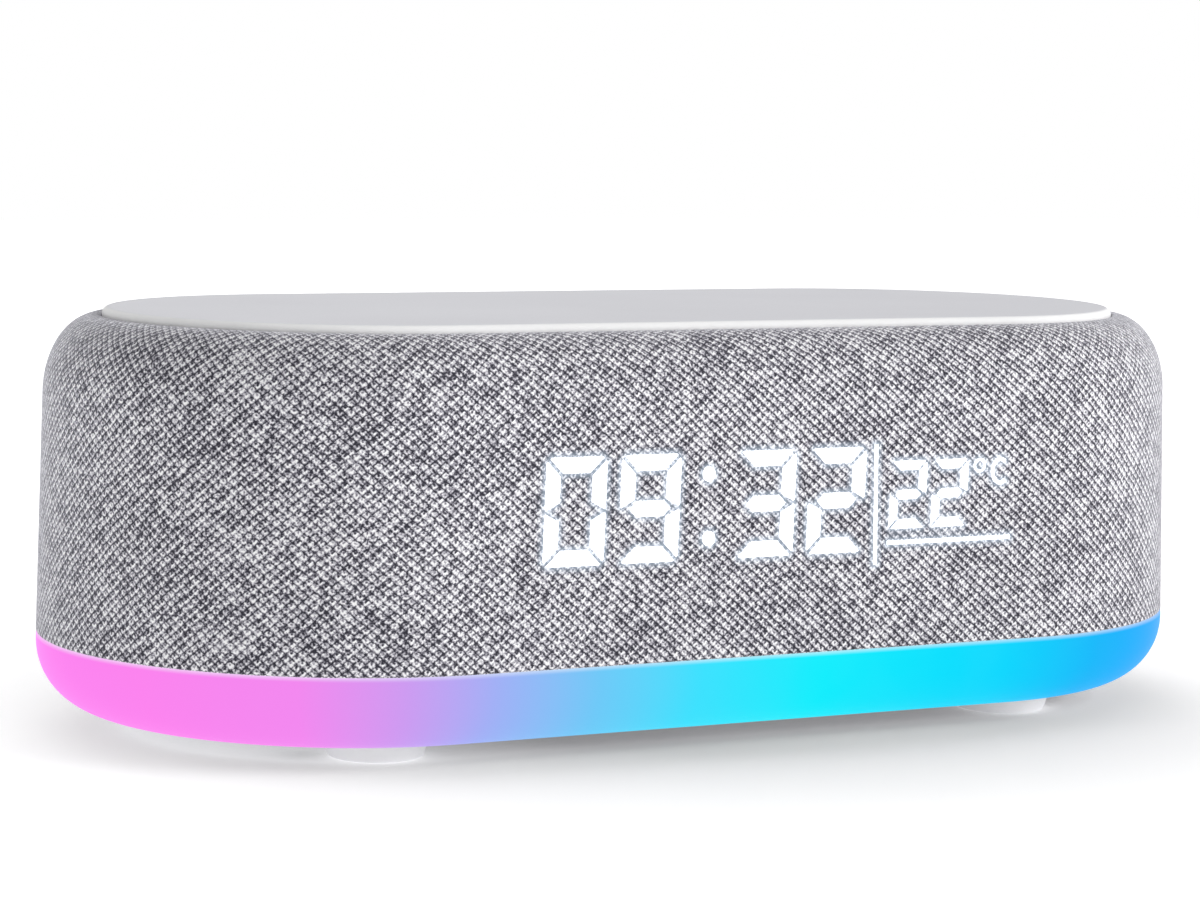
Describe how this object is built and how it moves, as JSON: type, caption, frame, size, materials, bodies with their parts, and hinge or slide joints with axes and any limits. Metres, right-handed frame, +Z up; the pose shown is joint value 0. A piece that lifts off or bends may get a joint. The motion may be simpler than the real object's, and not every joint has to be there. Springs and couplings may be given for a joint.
{
  "type": "talking desk clock",
  "caption": "Stadium-shaped cloth-covered desk clock with a charging plate on top, a glowing base band, a segment display behind the cloth and rear push buttons.",
  "frame": {"origin": "centre of the footprint, on the surface that the four feet stand on", "axes": "+Z up, the display faces -Y, +X to the right of someone who reads the display"},
  "size_m": [0.2, 0.1, 0.0671],
  "materials": {
    "cloth": "heather grey knitted speaker cloth",
    "housing": "moulded, fine matt",
    "plate": "soft-touch pale grey",
    "diffuser": "milky translucent diffuser, lit magenta to cyan",
    "base": "moulded, fine matt",
    "foot": "white silicone",
    "steel": "zinc plated",
    "circuit": "solder-masked laminate",
    "component": "moulded component case",
    "display": "white moulded light wells",
    "filter": "translucent filter sheet",
    "panel": "moulded, fine matt",
    "button": "moulded button cap",
    "plunger": "natural moulded actuator",
    "can": "tinned shield",
    "cell": "nickel plated",
    "copper": "enamelled copper winding",
    "ferrite": "sintered ferrite",
    "magnet": "ceramic magnet with steel yoke",
    "frame": "moulded speaker frame",
    "cone": "coated paper cone",
    "surround": "rubber roll",
    "flex": "flexible circuit",
    "source": "surface-mount light source"
  },
  "bodies": {
    "clock": {"base_cover": "base", "base_screws": "steel", "board_screws": "steel", "cell_holder": "component", "charging_coil": "copper", "coil_carrier": "housing", "coil_ferrite": "ferrite", "coin_cell": "cell", "display_block": "display", "display_board": "circuit", "display_filter": "filter", "display_ribbon": "flex", "display_screws": "steel", "fabric_sleeve": "cloth", "foot_front_left": "foot", "foot_front_right": "foot", "foot_rear_left": "foot", "foot_rear_right": "foot", "left_speaker_frame": "frame", "left_speaker_magnet": "magnet", "left_speaker_surround": "surround", "light_band": "diffuser", "light_sources": "source", "light_strip": "circuit", "main_board": "circuit", "main_housing": "housing", "plate_screws": "steel", "rear_board": "circuit", "rear_panel": "panel", "rear_panel_screws": "steel", "right_speaker_frame": "frame", "right_speaker_magnet": "magnet", "right_speaker_surround": "surround", "speaker_screws": "steel", "tact_switches": "component", "temperature_sensor": "component", "top_plate": "plate", "usb_inlet": "can", "wireless_module": "can"},
    "talk_key": {"talk_button": "button", "talk_plunger": "plunger"},
    "alarm_key": {"alarm_button": "button", "alarm_plunger": "plunger"},
    "minus_key": {"minus_button": "button", "minus_plunger": "plunger"},
    "plus_key": {"plus_button": "button", "plus_plunger": "plunger"},
    "light_key": {"light_button": "button", "light_plunger": "plunger"},
    "left_cone": {"left_speaker_cone": "cone", "left_speaker_coil": "copper"},
    "right_cone": {"right_speaker_cone": "cone", "right_speaker_coil": "copper"}
  },
  "joints": [
    {"name": "talk_press", "type": "slide", "parent": "clock", "child": "talk_key", "axis": [0, -1, 0], "range_m": [0, 0.0005], "stiffness_N_per_m": 2500, "springref_m": -0.0002},
    {"name": "alarm_press", "type": "slide", "parent": "clock", "child": "alarm_key", "axis": [0, -1, 0], "range_m": [0, 0.0005], "stiffness_N_per_m": 2500, "springref_m": -0.0002},
    {"name": "minus_press", "type": "slide", "parent": "clock", "child": "minus_key", "axis": [0, -1, 0], "range_m": [0, 0.0005], "stiffness_N_per_m": 2500, "springref_m": -0.0002},
    {"name": "plus_press", "type": "slide", "parent": "clock", "child": "plus_key", "axis": [0, -1, 0], "range_m": [0, 0.0005], "stiffness_N_per_m": 2500, "springref_m": -0.0002},
    {"name": "light_press", "type": "slide", "parent": "clock", "child": "light_key", "axis": [0, -1, 0], "range_m": [0, 0.0005], "stiffness_N_per_m": 2500, "springref_m": -0.0002},
    {"name": "left_cone_stroke", "type": "slide", "parent": "clock", "child": "left_cone", "axis": [-1, 0, 0], "range_m": [-0.001, 0.001], "stiffness_N_per_m": 1500},
    {"name": "right_cone_stroke", "type": "slide", "parent": "clock", "child": "right_cone", "axis": [1, 0, 0], "range_m": [-0.001, 0.001], "stiffness_N_per_m": 1500}
  ]
}
